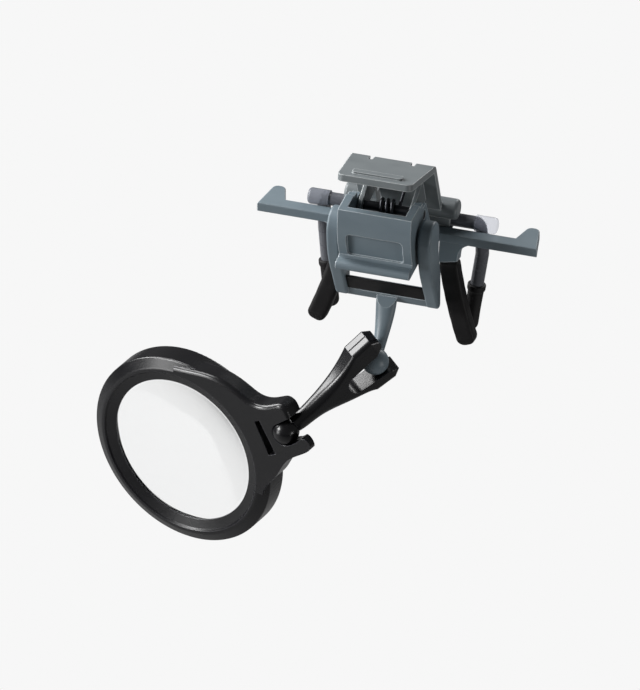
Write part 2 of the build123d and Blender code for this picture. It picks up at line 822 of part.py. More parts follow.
def arm_section(reach, upper_share, lower_share, width_share, round_share):
    """Rounded cross section of the arm at a reach from the lower ball, uneven above and below its axis."""
    upper = arm_upper * upper_share
    lower = arm_lower * lower_share
    half_width = arm_width / 2 * width_share
    centre = lower_ball_centre + arm_way * reach + arm_side.y_dir * (upper - lower) / 2
    with BuildSketch(Plane(origin=centre, x_dir=arm_across, z_dir=arm_way)) as section:
        RectangleRounded(2 * half_width, upper + lower, half_width * round_share)
    return section.sketch


body_stations = zip(
    [arm_length * share for share in body_station_shares],
    body_upper_shares,
    body_lower_shares,
    body_width_shares,
    body_round_shares,
)
head_stations = zip(
    (pad_start_x, pad_end_x, tip_x),
    head_upper_shares,
    head_lower_shares,
    head_width_shares,
    head_round_shares,
)
body_sections = [arm_section(*station) for station in body_stations]
head_sections = [arm_section(*station) for station in head_stations]
with BuildPart() as link_arm:
    loft(body_sections + head_sections[:1])
    loft(head_sections, ruled=True)
    with BuildSketch(arm_side):
        with BuildLine():
            Polyline(
                (crotch_x + crotch_half, crotch_half),
                (arm_length, fork_upper_gap),
                (mouth_x, fork_upper_gap),
                (tip_x + seat_fit, fork_upper_mouth),
                (tip_x + seat_fit, -fork_lower_mouth),
                (mouth_x, -fork_lower_gap),
                (arm_length, -fork_lower_gap),
                (crotch_x + crotch_half, -crotch_half),
            )
            ThreePointArc(
                (crotch_x + crotch_half, -crotch_half),
                (crotch_x, 0),
                (crotch_x + crotch_half, crotch_half),
            )
        make_face()
    extrude(amount=arm_width, both=True, mode=Mode.SUBTRACT)
    with Locations(lower_ball_centre, upper_ball_centre):
        Sphere(ball_radius + running_fit, mode=Mode.SUBTRACT)
    pad_tilt = atan2(arm_upper * (1 - head_upper_shares[0]), pad_length)
    pad_plane = Plane(
        origin=lower_ball_centre + arm_way * pad_end_x + arm_side.y_dir * arm_upper,
        x_dir=arm_way * cos(pad_tilt) + arm_side.y_dir * sin(pad_tilt),
        z_dir=arm_side.y_dir * cos(pad_tilt) - arm_way * sin(pad_tilt),
    )
    with BuildSketch(pad_plane):
        with Locations((-pad_length / 2, 0)):
            Rectangle(pad_length, pad_groove_width)
    extrude(amount=-pad_groove_depth, mode=Mode.SUBTRACT)
keep(link_arm, "link_arm")

# Lower ball
with BuildPart() as lower_ball:
    with Locations(lower_ball_centre):
        Sphere(ball_radius)
keep(lower_ball, "lower_ball")

# Lens ring: its turned profile, then the lug with the ball socket, its slot and the flex slit.
yaw = radians(ring_yaw)
ring_normal = Vector(-sin(yaw), -cos(yaw), 0)
ring_across = Vector(cos(yaw), -sin(yaw), 0)
lug_turn = radians(lug_angle)
ring_radius = lens_radius + ring_wall
crest_radius = ring_radius - crest_inset
step_radius = crest_radius - step_inset
aperture_radius = lens_radius - lens_lip
flare_radius = lens_radius + flare_width
lug_reach = ring_radius + lug_standoff
lug_way = ring_across * cos(lug_turn) + Vector(0, 0, 1) * sin(lug_turn)
ring_centre = lower_ball_centre + ring_normal * lug_ball_depth - lug_way * lug_reach
lug_plane = Plane(origin=ring_centre, x_dir=lug_way, z_dir=ring_normal)
ring_section = Plane(origin=ring_centre, x_dir=ring_across, z_dir=(0, 0, 1))
ring_axis = Axis(ring_centre, ring_normal)
bore_radius = lens_radius + seat_fit
retainer_end = seat_depth + lens_edge + retainer_thickness
lug_neck_x = lug_reach - lug_neck_setback
slit_x_middle = ring_radius + flex_slit_gap


def on_circle(radius, turn):
    """Point on a circle round the ring's axis, after a turn in degrees from the lug's middle line."""
    return (radius * cos(radians(turn)), radius * sin(radians(turn)))


def on_prong_tip(turn):
    """Point on the round tip of the lower prong, after a turn in degrees from its own direction."""
    angle = radians(prong_tip_turn + turn)
    return (
        lug_reach + prong_tip_x + prong_tip_radius * cos(angle),
        -prong_tip_drop + prong_tip_radius * sin(angle),
    )


def is_upper(edge):
    """Whether an edge of the lug's front is one of the long ones along the upper prong's outside."""
    middle = lug_plane.to_local_coords(edge.position_at(1 / 2))
    return middle.Y > lug_upper_half - lug_tip_radius and edge.length > lug_tip_radius


upper_root_radius = crest_radius + lug_upper_rise
lower_root_radius = crest_radius + lug_lower_rise
upper_root = on_circle(upper_root_radius, lug_upper_angle)
lug_inner_radius = crest_radius - lug_root_inset
upper_root_inner = on_circle(lug_inner_radius, lug_upper_angle)
lower_root = on_circle(lower_root_radius, -lug_lower_angle)
lower_root_inner = on_circle(lug_inner_radius, -lug_lower_angle)
upper_tip_x = lug_reach + lug_upper_tip
shoulder_x = lug_reach - lug_shoulder_setback
upper_root_way = (upper_root[1], -upper_root[0])
lower_root_way = (lower_root[1], -lower_root[0])
corner_cut = lug_tip_radius * (1 - cos(pi / 4))
tip_way = (sin(radians(prong_tip_turn)), -cos(radians(prong_tip_turn)))
prong_end_x = lug_reach + prong_tip_x + prong_tip_radius + overrun
with BuildPart() as lug:
    with BuildSketch(lug_plane):
        with BuildLine():
            ThreePointArc(lower_root_inner, (lug_inner_radius, 0), upper_root_inner)
            Line(upper_root_inner, upper_root)
            Spline(
                upper_root,
                on_circle(ring_radius + lug_flank_rise, lug_flank_angle),
                (shoulder_x, lug_upper_shoulder),
                (lug_reach, lug_upper_half),
                tangents=(upper_root_way, (1, 0)),
            )
            Line((lug_reach, lug_upper_half), (upper_tip_x - lug_tip_radius, lug_upper_half))
            ThreePointArc(
                (upper_tip_x - lug_tip_radius, lug_upper_half),
                (upper_tip_x - corner_cut, lug_upper_half - corner_cut),
                (upper_tip_x, lug_upper_half - lug_tip_radius),
            )
            Polyline(
                (upper_tip_x, lug_upper_half - lug_tip_radius),
                (upper_tip_x, lug_slot_upper + lug_slot_flare),
                (lug_reach, lug_slot_upper),
            )
            ThreePointArc(
                (lug_reach, lug_slot_upper),
                (lug_reach - lug_slot_depth, 0),
                (lug_reach, -lug_slot_lower),
            )
            Spline(
                (lug_reach, -lug_slot_lower),
                on_prong_tip(quarter_turn),
                tangents=((lug_slot_lower, -lug_slot_fall), (-tip_way[1], tip_way[0])),
            )
            ThreePointArc(on_prong_tip(quarter_turn), on_prong_tip(0), on_prong_tip(-quarter_turn))
            Spline(
                on_prong_tip(-quarter_turn),
                (lug_neck_x, -lug_lower_half),
                (shoulder_x, -lug_lower_shoulder),
                lower_root,
                tangents=((tip_way[1], -tip_way[0]), lower_root_way),
            )
            Line(lower_root, lower_root_inner)
        make_face()
    extrude(amount=-lug_thickness)
    front_edges = lug.faces().sort_by(Axis(ring_centre, ring_normal))[-1].edges()
    upper_edges = [edge for edge in front_edges if is_upper(edge)]
    fillet(upper_edges, lug_edge_radius)
    with BuildSketch(Plane(origin=ring_centre, x_dir=lug_way, z_dir=lug_plane.y_dir)):
        with BuildLine():
            Polyline(
                (lug_reach + prong_taper_start, lug_thickness),
                (prong_end_x, prong_tip_thickness),
                (prong_end_x, lug_thickness + overrun),
                (lug_reach + prong_taper_start, lug_thickness + overrun),
                close=True,
            )
        make_face()
    extrude(amount=-lug_lower_half - overrun, mode=Mode.SUBTRACT)
with BuildPart() as lens_ring:
    with BuildSketch(ring_section):
        with BuildLine():
            Polyline(
                (crest_radius, 0),
                (ring_radius, ring_drop),
                (ring_radius, ring_thickness),
                (flare_radius, ring_thickness),
                (bore_radius, retainer_end),
                (bore_radius, seat_depth),
                (aperture_radius, seat_depth),
                (aperture_radius, lip_drop),
                (step_radius, step_drop),
                (step_radius + step_drop, 0),
                close=True,
            )
        make_face()
    revolve(axis=ring_axis)
    circles = lens_ring.edges().filter_by(GeomType.CIRCLE)
    fillet(circles.filter_by(lambda edge: abs(edge.radius - ring_radius) < seat_fit), ring_edge_radius)
    circles = lens_ring.edges().filter_by(GeomType.CIRCLE)
    fillet(circles.filter_by(lambda edge: abs(edge.radius - crest_radius) < seat_fit), crest_edge_radius)
    add(lug.part)
    with BuildSketch(lug_plane):
        with BuildLine():
            Polyline(
                (slit_x_middle - flex_slit_top_width / 2, flex_slit_length / 2),
                (slit_x_middle + flex_slit_top_width / 2, flex_slit_length / 2),
                (slit_x_middle + flex_slit_foot_width / 2, -flex_slit_length / 2),
                (slit_x_middle - flex_slit_foot_width / 2, -flex_slit_length / 2),
                close=True,
            )
        make_face()
    extrude(amount=-ring_thickness - overrun, mode=Mode.SUBTRACT)
    with Locations(lower_ball_centre):
        Sphere(ball_radius + running_fit, mode=Mode.SUBTRACT)
keep(lens_ring, "lens_ring")

# Lens: a flat land at its edge and a dome on each side.
land_radius = lens_radius - lens_land
dome_radius = (land_radius**2 + lens_bulge**2) / (2 * lens_bulge)
dome_shift = dome_radius - lens_bulge - lens_edge / 2
lens_middle = ring_centre - ring_normal * (seat_depth + lens_edge / 2)
lens_plane = Plane(origin=lens_middle, x_dir=ring_across, z_dir=ring_normal)
with BuildPart() as lens:
    with BuildSketch(lens_plane):
        Circle(land_radius)
    extrude(amount=lens_edge / 2 + lens_bulge, both=True)
    for dome_side in (-1, 1):
        with Locations(lens_middle + ring_normal * dome_side * dome_shift):
            Sphere(dome_radius, mode=Mode.INTERSECT)
    with BuildSketch(lens_plane):
        Circle(lens_radius)
    extrude(amount=lens_edge / 2, both=True)
keep(lens, "lens")

# Lens retaining ring: a thin ring pressed in behind the land of the lens.
with BuildPart() as lens_retaining_ring:
    with BuildSketch(lug_plane.offset(-seat_depth - lens_edge)):
        Circle(lens_radius)
        Circle(lens_radius - retainer_width, mode=Mode.SUBTRACT)
    extrude(amount=-retainer_thickness)
keep(lens_retaining_ring, "lens_retaining_ring")
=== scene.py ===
import math

import bpy
import numpy as np
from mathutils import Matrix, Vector


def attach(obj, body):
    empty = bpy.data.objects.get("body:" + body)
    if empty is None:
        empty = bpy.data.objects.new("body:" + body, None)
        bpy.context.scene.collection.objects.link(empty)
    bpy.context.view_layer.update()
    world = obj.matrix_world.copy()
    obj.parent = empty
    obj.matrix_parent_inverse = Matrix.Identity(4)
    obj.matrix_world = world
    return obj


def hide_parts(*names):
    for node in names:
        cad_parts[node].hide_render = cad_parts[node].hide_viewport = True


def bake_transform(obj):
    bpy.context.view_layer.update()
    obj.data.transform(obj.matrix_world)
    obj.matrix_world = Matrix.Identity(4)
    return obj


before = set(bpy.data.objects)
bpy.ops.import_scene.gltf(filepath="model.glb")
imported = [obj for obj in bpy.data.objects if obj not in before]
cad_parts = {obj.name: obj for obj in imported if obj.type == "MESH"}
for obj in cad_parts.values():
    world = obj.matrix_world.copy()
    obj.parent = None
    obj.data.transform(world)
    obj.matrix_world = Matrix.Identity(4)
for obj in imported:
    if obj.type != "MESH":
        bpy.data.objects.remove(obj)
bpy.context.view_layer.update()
print("frame loaded:", len(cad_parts), "nodes")

mm = 0.001


# Camera, floor and lights

viewSetup = {
    "azimuth": 17.0,  # degrees round from straight ahead
    "elevation": 34.0,  # degrees above the horizon
    "distance": 2000.0 * mm,  # from the middle of the clip
    "sensorWidth": 36.0,
    "focalPixels": 10160.0,
    "longSidePixels": 690.0,  # of the picture of 640 by 690
    "aimRight": -15.6 * mm,  # the middle of the picture, from the middle of the clip
    "aimUp": -22.8 * mm,
    "seenFrom": 0.01,  # metres from the camera
    "seenTo": 20.0,
}


# back = (sin az cos el, -cos az cos el, sin el); the camera stands along it, aimed straight at the object
def placeCamera(setup):
    az = math.radians(setup["azimuth"])
    el = math.radians(setup["elevation"])
    back = Vector((math.sin(az) * math.cos(el), -math.cos(az) * math.cos(el), math.sin(el)))
    right = Vector((math.cos(az), math.sin(az), 0))
    up = back.cross(right)
    data = bpy.data.cameras.new("loupeCamera")
    data.sensor_width = setup["sensorWidth"]
    data.lens = data.sensor_width * setup["focalPixels"] / setup["longSidePixels"]
    data.clip_start = setup["seenFrom"]
    data.clip_end = setup["seenTo"]
    camera = bpy.data.objects.new("loupeCamera", data)
    bpy.context.scene.collection.objects.link(camera)
    camera.rotation_mode = "QUATERNION"
    camera.location = right * setup["aimRight"] + up * setup["aimUp"] + back * setup["distance"]
    camera.rotation_quaternion = (-back).to_track_quat("-Z", "Y")
    bpy.context.scene.camera = camera


stageSetup = {
    "floorDrop": 0.26,  # the loupe is shown in the air, well above the floor
    "floorSize": 12.0,
    "paper": (0.93, 0.93, 0.93),  # what the camera sees of the floor and the world
    "floorGrey": (0.26, 0.26, 0.26),
    "worldGlow": 0.07,
    "glossGlow": 0.14,  # what shows in glossy surfaces
}


# clears a material's node tree and returns its nodes and links
def nodesOf(material):
    material.use_nodes = True
    tree = material.node_tree
    tree.nodes.clear()
    return tree.nodes, tree.links


# seen = max(camera, transmission), the rays for which the paper glows, and beside it the glossy ones
def seenRays(nodes, links):
    path = nodes.new("ShaderNodeLightPath")
    seen = nodes.new("ShaderNodeMath")
    seen.operation = "MAXIMUM"
    links.new(path.outputs["Is Camera Ray"], seen.inputs[0])
    links.new(path.outputs["Is Transmission Ray"], seen.inputs[1])
    return seen.outputs[0], path.outputs["Is Glossy Ray"]


# floor and world: paper white where seen, plain grey for the light that they throw back
def makeStage(setup):
    material = bpy.data.materials.new("paleFloor")
    nodes, links = nodesOf(material)
    out = nodes.new("ShaderNodeOutputMaterial")
    diffuse = nodes.new("ShaderNodeBsdfDiffuse")
    diffuse.inputs["Color"].default_value = (*setup["floorGrey"], 1)
    glow = nodes.new("ShaderNodeEmission")
    glow.inputs["Color"].default_value = (*setup["paper"], 1)
    mix = nodes.new("ShaderNodeMixShader")
    seen, _ = seenRays(nodes, links)
    links.new(seen, mix.inputs[0])
    links.new(diffuse.outputs[0], mix.inputs[1])
    links.new(glow.outputs[0], mix.inputs[2])
    links.new(mix.outputs[0], out.inputs["Surface"])
    half = setup["floorSize"] / 2
    z = -setup["floorDrop"]
    corners = [(-half, -half, z), (half, -half, z), (half, half, z), (-half, half, z)]
    mesh = bpy.data.meshes.new("floor")
    mesh.from_pydata(corners, [], [(0, 1, 2, 3)])
    floor = bpy.data.objects.new("floor", mesh)
    bpy.context.scene.collection.objects.link(floor)
    mesh.materials.append(material)

    world = bpy.data.worlds.new("studio")
    bpy.context.scene.world = world
    world.use_nodes = True
    nodes = world.node_tree.nodes
    links = world.node_tree.links
    nodes.clear()
    out = nodes.new("ShaderNodeOutputWorld")
    dim = nodes.new("ShaderNodeBackground")
    dim.inputs["Color"].default_value = (1, 1, 1, 1)
    dim.inputs["Strength"].default_value = setup["worldGlow"]
    paper = nodes.new("ShaderNodeBackground")
    paper.inputs["Color"].default_value = (*setup["paper"], 1)
    sheen = nodes.new("ShaderNodeBackground")
    sheen.inputs["Color"].default_value = (1, 1, 1, 1)
    sheen.inputs["Strength"].default_value = setup["glossGlow"]
    seen, glossy = seenRays(nodes, links)
    unseen = nodes.new("ShaderNodeMixShader")
    links.new(glossy, unseen.inputs[0])
    links.new(dim.outputs[0], unseen.inputs[1])
    links.new(sheen.outputs[0], unseen.inputs[2])
    mix = nodes.new("ShaderNodeMixShader")
    links.new(seen, mix.inputs[0])
    links.new(unseen.outputs[0], mix.inputs[1])
    links.new(paper.outputs[0], mix.inputs[2])
    links.new(mix.outputs[0], out.inputs["Surface"])


lampSetup = {
    # name: place, aim, size, power in watts
    "topSoftbox": ((-0.44, 0.14, 0.64), (0, 0, 0), 0.28, 3.0),
    "leftSoftbox": ((-0.74, -0.44, 0.40), (0, 0, 0), 0.28, 6.4),
    "rightSoftbox": ((0.80, -0.30, -0.06), (0, 0, -0.01), 0.26, 1.5),
    "backStrip": ((0.15, 0.75, 0.30), (0, 0, 0), 0.40, 2.2),
    "padGlint": ((-0.61, 0.18, 0.31), (-0.01, -0.02, -0.02), 0.32, 4.4),
    "ringGlint": ((-0.62, -0.48, 0.00), (-0.03, -0.03, -0.04), 0.26, 1.5),
}


# each lamp is a square area light that faces its aim and isn't itself seen, nor through the lens
def placeLamps(setup):
    for name, (place, aim, size, power) in setup.items():
        data = bpy.data.lights.new(name, "AREA")
        data.shape = "SQUARE"
        data.size = size
        data.energy = power
        lamp = bpy.data.objects.new(name, data)
        bpy.context.scene.collection.objects.link(lamp)
        lamp.location = place
        lamp.rotation_mode = "QUATERNION"
        lamp.rotation_quaternion = (Vector(aim) - Vector(place)).to_track_quat("-Z", "Y")
        lamp.visible_camera = False
        lamp.visible_transmission = False


placeCamera(viewSetup)
makeStage(stageSetup)
placeLamps(lampSetup)
bpy.context.scene.view_settings.view_transform = "Standard"
print("camera, floor and lights placed")


# Materials

# linear = ((v / 255 + 0.055) / 1.055) ** 2.4, of an 8-bit screen value above 10
def srgb(r, g, b):
    return tuple(((v / 255 + 0.055) / 1.055) ** 2.4 if v > 10 else v / 255 / 12.92 for v in (r, g, b))


# the edge tone of each finish below is a painted highlight on its rounded edges
mouldedGrey = {
    "name": "mouldedGrey",
    "tones": (srgb(102, 115, 124), srgb(120, 133, 140)),
    "toneScale": 240.0,  # per metre
    "roughness": (0.34, 0.50),
    "shine": 0.5,  # specular level
    "metal": 0.0,
    "grain": 5200.0,  # per metre
    "grainDepth": 0.004 * mm,
    "edge": 0.26 * mm,  # radius that the mould leaves on edges
    "edgeHighlightTone": srgb(205, 214, 219),
    "flow": 0.35,  # scale of the tones along X: the smaller, the longer they are drawn out
}
mouldedBlack = {
    "name": "mouldedBlack",
    "tones": (srgb(13, 13, 15), srgb(20, 20, 23)),
    "toneScale": 220.0,
    "roughness": (0.20, 0.32),
    "shine": 0.5,
    "metal": 0.0,
    "grain": 6000.0,
    "grainDepth": 0.003 * mm,
    "edge": 0.2 * mm,
    "edgeHighlightTone": srgb(64, 64, 70),
    "flow": 0.4,
}
tabGrey = {
    "name": "tabGrey",
    "tones": (srgb(104, 110, 113), srgb(124, 130, 132)),
    "toneScale": 300.0,
    "roughness": (0.30, 0.46),
    "shine": 0.5,
    "metal": 0.0,
    "grain": 4200.0,
    "grainDepth": 0.007 * mm,
    "edge": 0.26 * mm,
    "edgeHighlightTone": srgb(206, 211, 212),
    "flow": 0.5,
}
softRubber = {
    "name": "softRubber",
    "tones": (srgb(14, 13, 14), srgb(21, 20, 21)),
    "toneScale": 400.0,
    "roughness": (0.50, 0.66),
    "shine": 0.3,
    "metal": 0.0,
    "grain": 7000.0,
    "grainDepth": 0.006 * mm,
    "edge": 0.1 * mm,
    "edgeHighlightTone": srgb(42, 40, 42),
    "flow": 1.0,
}
coatedRod = {
    "name": "coatedRod",
    "tones": (srgb(84, 86, 92), srgb(104, 106, 112)),
    "toneScale": 500.0,
    "roughness": (0.22, 0.34),
    "shine": 0.5,
    "metal": 0.0,
    "grain": 4200.0,
    "grainDepth": 0.003 * mm,
    "edge": 0.05 * mm,
    "edgeHighlightTone": srgb(100, 103, 109),
    "flow": 0.2,
}
# blackened steel for the spring and the pin, also made this dark to stand in for the deep shade inside the
# lever: partly a painted shade
blackedSteelAndShade = {
    "name": "blackedSteelAndShade",
    "tones": (srgb(52, 53, 56), srgb(74, 75, 79)),
    "toneScale": 900.0,
    "roughness": (0.30, 0.42),
    "shine": 0.5,
    "metal": 1.0,
    "grain": 8000.0,
    "grainDepth": 0.002 * mm,
    "edge": 0.05 * mm,
    "edgeHighlightTone": srgb(120, 121, 124),
    "flow": 0.1,
}


# shared by all the finishes; the painted edge highlight starts at the first cosine of the normal's turn and
# is full at the second
finishDetail = {
    "toneDetail": 4.0,
    "grainDetail": 2.0,
    "edgeSamples": 6,
    "highlightFrom": 0.99,
    "highlightTo": 0.92,
}


# moulded or coated surface: two tones in slow noise, a fine grain, uneven gloss, and a painted highlight on
# rounded edges
def finishNodes(recipe):
    material = bpy.data.materials.new(recipe["name"])
    nodes, links = nodesOf(material)
    out = nodes.new("ShaderNodeOutputMaterial")
    shader = nodes.new("ShaderNodeBsdfPrincipled")
    shader.inputs["Specular IOR Level"].default_value = recipe["shine"]
    shader.inputs["Metallic"].default_value = recipe["metal"]
    links.new(shader.outputs[0], out.inputs["Surface"])
    where = nodes.new("ShaderNodeTexCoord")

    stretch = nodes.new("ShaderNodeMapping")
    stretch.inputs["Scale"].default_value = (recipe["flow"], 1.0, 1.0)
    links.new(where.outputs["Object"], stretch.inputs["Vector"])
    slow = nodes.new("ShaderNodeTexNoise")
    slow.inputs["Scale"].default_value = recipe["toneScale"]
    slow.inputs["Detail"].default_value = finishDetail["toneDetail"]
    links.new(stretch.outputs["Vector"], slow.inputs["Vector"])
    tone = nodes.new("ShaderNodeMix")
    tone.data_type = "RGBA"
    tone.inputs["A"].default_value = (*recipe["tones"][0], 1)
    tone.inputs["B"].default_value = (*recipe["tones"][1], 1)
    links.new(slow.outputs["Fac"], tone.inputs["Factor"])

    # painted edge highlight: how far the bevelled normal turns away from the true one, shown as a paler tone
    # on rounded edges
    rounded = nodes.new("ShaderNodeBevel")
    rounded.samples = finishDetail["edgeSamples"]
    rounded.inputs["Radius"].default_value = recipe["edge"]
    geometry = nodes.new("ShaderNodeNewGeometry")
    turn = nodes.new("ShaderNodeVectorMath")
    turn.operation = "DOT_PRODUCT"
    links.new(rounded.outputs["Normal"], turn.inputs[0])
    links.new(geometry.outputs["Normal"], turn.inputs[1])
    edgeLit = nodes.new("ShaderNodeMapRange")
    edgeLit.inputs["From Min"].default_value = finishDetail["highlightFrom"]
    edgeLit.inputs["From Max"].default_value = finishDetail["highlightTo"]
    links.new(turn.outputs["Value"], edgeLit.inputs["Value"])
    # the edge tone mixed in here is a painted highlight on rounded edges
    highlighted = nodes.new("ShaderNodeMix")
    highlighted.data_type = "RGBA"
    highlighted.inputs["B"].default_value = (*recipe["edgeHighlightTone"], 1)
    links.new(edgeLit.outputs["Result"], highlighted.inputs["Factor"])
    links.new(tone.outputs["Result"], highlighted.inputs["A"])
    links.new(highlighted.outputs["Result"], shader.inputs["Base Color"])

    gloss = nodes.new("ShaderNodeMapRange")
    gloss.inputs["To Min"].default_value = recipe["roughness"][0]
    gloss.inputs["To Max"].default_value = recipe["roughness"][1]
    links.new(slow.outputs["Fac"], gloss.inputs["Value"])
    links.new(gloss.outputs["Result"], shader.inputs["Roughness"])

    grain = nodes.new("ShaderNodeTexNoise")
    grain.inputs["Scale"].default_value = recipe["grain"]
    grain.inputs["Detail"].default_value = finishDetail["grainDetail"]
    links.new(where.outputs["Object"], grain.inputs["Vector"])
    bump = nodes.new("ShaderNodeBump")
    bump.inputs["Distance"].default_value = recipe["grainDepth"]
    links.new(grain.outputs["Fac"], bump.inputs["Height"])
    links.new(rounded.outputs["Normal"], bump.inputs["Normal"])
    links.new(bump.outputs["Normal"], shader.inputs["Normal"])
    return material


greyFinish = finishNodes(mouldedGrey)
tabFinish = finishNodes(tabGrey)
blackFinish = finishNodes(mouldedBlack)
rubberFinish = finishNodes(softRubber)
rodFinish = finishNodes(coatedRod)
steelFinish = finishNodes(blackedSteelAndShade)

clearCap = {
    "name": "clearCap",
    "tint": srgb(226, 228, 234),
    "index": 1.14,  # of refraction
    "clear": 0.96,  # share of the light that goes through
    "shine": 0.5,
    "roughness": (0.04, 0.12),
    "cloudScale": 600.0,
    "haze": 0.985,  # what the cloud leaves of the tint at its darkest
}
smokyCap = {
    "name": "smokyCap",
    "tint": srgb(150, 154, 163),
    "index": 1.40,
    "clear": 0.55,
    "shine": 0.5,
    "roughness": (0.10, 0.20),
    "cloudScale": 600.0,
    "haze": 0.985,
}
clearLens = {
    "name": "clearLens",
    "tint": (0.985, 0.99, 0.99),
    "index": 1.49,
    "clear": 1.0,
    "shine": 0.08,
    "roughness": (0.0, 0.01),
    "cloudScale": 90.0,
    "haze": 0.985,
}


# clear moulding or lens: transmission with a faint uneven haze
def clearNodes(recipe):
    material = bpy.data.materials.new(recipe["name"])
    nodes, links = nodesOf(material)
    out = nodes.new("ShaderNodeOutputMaterial")
    shader = nodes.new("ShaderNodeBsdfPrincipled")
    shader.inputs["Transmission Weight"].default_value = recipe["clear"]
    shader.inputs["IOR"].default_value = recipe["index"]
    shader.inputs["Specular IOR Level"].default_value = recipe["shine"]
    links.new(shader.outputs[0], out.inputs["Surface"])
    where = nodes.new("ShaderNodeTexCoord")
    cloud = nodes.new("ShaderNodeTexNoise")
    cloud.inputs["Scale"].default_value = recipe["cloudScale"]
    links.new(where.outputs["Object"], cloud.inputs["Vector"])
    tone = nodes.new("ShaderNodeMix")
    tone.data_type = "RGBA"
    tone.inputs["A"].default_value = (*recipe["tint"], 1)
    tone.inputs["B"].default_value = (*[v * recipe["haze"] for v in recipe["tint"]], 1)
    links.new(cloud.outputs["Fac"], tone.inputs["Factor"])
    links.new(tone.outputs["Result"], shader.inputs["Base Color"])
    rough = nodes.new("ShaderNodeMapRange")
    rough.inputs["To Min"].default_value = recipe["roughness"][0]
    rough.inputs["To Max"].default_value = recipe["roughness"][1]
    links.new(cloud.outputs["Fac"], rough.inputs["Value"])
    links.new(rough.outputs["Result"], shader.inputs["Roughness"])
    return material


capFinish = clearNodes(clearCap)
smokyFinish = clearNodes(smokyCap)
lensFinish = clearNodes(clearLens)

finishOf = {
    "front_bar": greyFinish, "thumb_block": greyFinish, "rear_lever": tabFinish, "flip_bracket": greyFinish,
    "upper_ball": greyFinish, "hinge_pin": steelFinish,
    "torsion_spring": steelFinish, "rear_bail": rodFinish,
    "front_sleeve_left": rubberFinish, "front_sleeve_right": rubberFinish,
    "rear_sleeve_left": rubberFinish, "rear_sleeve_right": rubberFinish,
    "bail_cap_left": smokyFinish, "bail_cap_right": capFinish, "bracket_stop_strip": rubberFinish,
    "link_arm": blackFinish, "lower_ball": blackFinish, "lens_ring": blackFinish,
    "lens_retaining_ring": blackFinish, "lens": lensFinish,
}
for nodeName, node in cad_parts.items():
    for place in node.material_slots:
        place.material = finishOf[nodeName]
print("finishes assigned")


# Pieces that stand for soft, wound or optical solids

# quads between the rings of a grid of points (ring, place round it, xyz), and a flat face on each end ring
def tubePiece(name, rings, material, body, slot, *nodes):
    count, around = rings.shape[:2]
    index = np.arange(count * around).reshape(count, around)
    onward = np.roll(index, -1, axis=1)
    quads = np.stack((index[:-1], onward[:-1], onward[1:], index[1:]), axis=-1).reshape(-1)
    corners = np.concatenate((quads, index[0][::-1], index[-1]))
    sizes = np.concatenate((np.full(len(quads) // 4, 4), [around, around]))
    starts = np.concatenate(([0], np.cumsum(sizes)[:-1]))
    mesh = bpy.data.meshes.new(name)
    mesh.vertices.add(count * around)
    mesh.vertices.foreach_set("co", rings.reshape(-1))
    mesh.loops.add(len(corners))
    mesh.loops.foreach_set("vertex_index", corners.astype(np.int32))
    mesh.polygons.add(len(sizes))
    mesh.polygons.foreach_set("loop_start", starts.astype(np.int32))
    mesh.polygons.foreach_set("use_smooth", np.ones(len(sizes), dtype=bool))
    mesh.update(calc_edges=True)
    mesh.validate()
    mesh.materials.append(material)
    piece = bpy.data.objects.new(name, mesh)
    bpy.context.scene.collection.objects.link(piece)
    if body:
        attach(piece, body)
    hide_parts(*nodes)
    return piece


# point = centre + a |cos t|^(2/n) across + b |sin t|^(2/n) along: a ring with rounded corners
def roundedRing(centre, across, along, halfAcross, halfAlong, power, around):
    turn = np.arange(around) / around * 2 * np.pi
    a = np.sign(np.cos(turn)) * np.abs(np.cos(turn)) ** (2 / power)
    b = np.sign(np.sin(turn)) * np.abs(np.sin(turn)) ** (2 / power)
    return centre + a[:, None] * halfAcross * across + b[:, None] * halfAlong * along


# rings of a body of revolution: centre + height * axis + radius * (cos t * side + sin t * other)
def turnedRings(centre, axis, side, profile, around):
    other = np.cross(axis, side)
    turn = np.arange(around) / around * 2 * np.pi
    outward = np.cos(turn)[:, None] * side + np.sin(turn)[:, None] * other
    radius = profile[:, 0][:, None, None]
    height = profile[:, 1][:, None, None]
    return centre + height * axis + radius * outward[None]


# Front boots: a rounded section swept down the curved leg, closed round the tip

frontBoot = {
    "plane": np.array((0, -0.575, 0)) * mm,
    "lean": math.radians(11.3),
    "centreX": 10.75 * mm,
    "bareLength": 4.3 * mm,
    "length": 18.0 * mm,
    "splay": (math.radians(11.5), math.radians(21.0)),
    "halfWidth": 1.95 * mm,
    "halfThickness": 1.6 * mm,
    "rim": 0.22 * mm,
    "wall": 0.5 * mm,
    "swell": 0.03 * mm,
    "swellLength": 3.1 * mm,
    "tipShare": 1.2,  # of the half thickness, over which the tip gets thinner
    "crowding": 0.8,  # crowds the rings towards the tip
    "leastHalf": 0.04 * mm,
    "leastShare": 0.04,
    "power": 5.5,
    "around": 64,
    "rings": 90,
}


